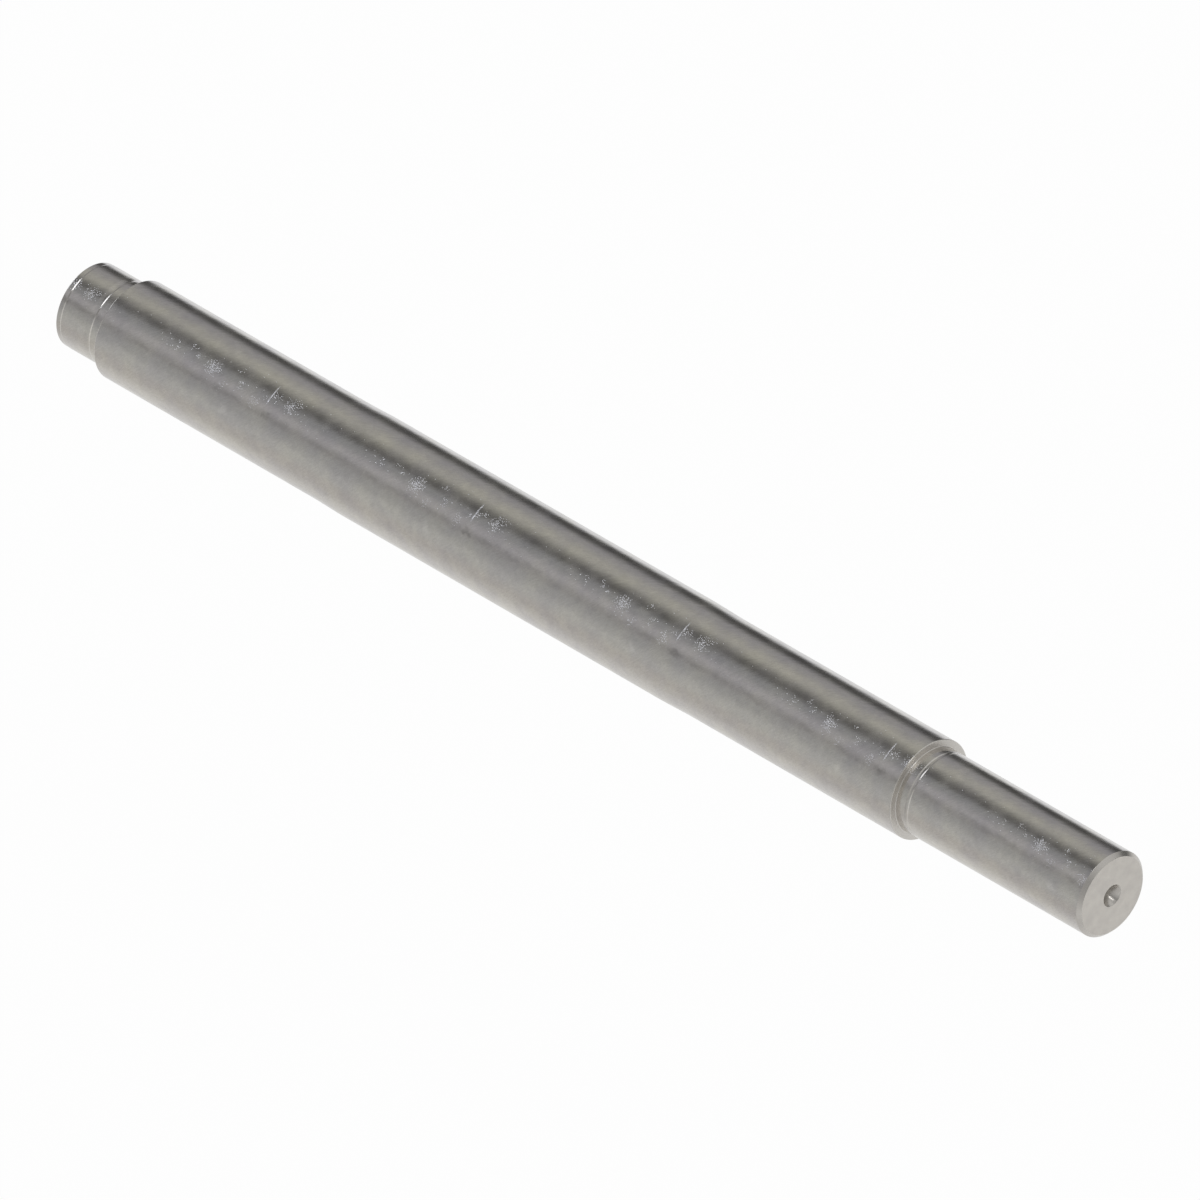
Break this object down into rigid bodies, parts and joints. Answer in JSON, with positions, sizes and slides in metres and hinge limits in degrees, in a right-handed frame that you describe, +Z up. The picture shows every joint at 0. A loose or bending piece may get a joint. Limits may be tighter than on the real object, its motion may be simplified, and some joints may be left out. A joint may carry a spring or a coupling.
{
  "type": "machine shaft",
  "caption": "Stepped steel machine shaft: ground journals at both ends, two seats, a slightly thicker tapered centre and centre holes.",
  "frame": {"origin": "on the turning axis, at mid-length", "axes": "+X along the turning axis, towards the end of the long drive journal; +Z up, with the shaft level"},
  "size_m": [0.46, 0.0356, 0.0356],
  "materials": {
    "steel": "turned and ground bright steel, semi-gloss, with faint mottling"
  },
  "bodies": {
    "root": {"shaft": "steel"}
  },
  "joints": []
}
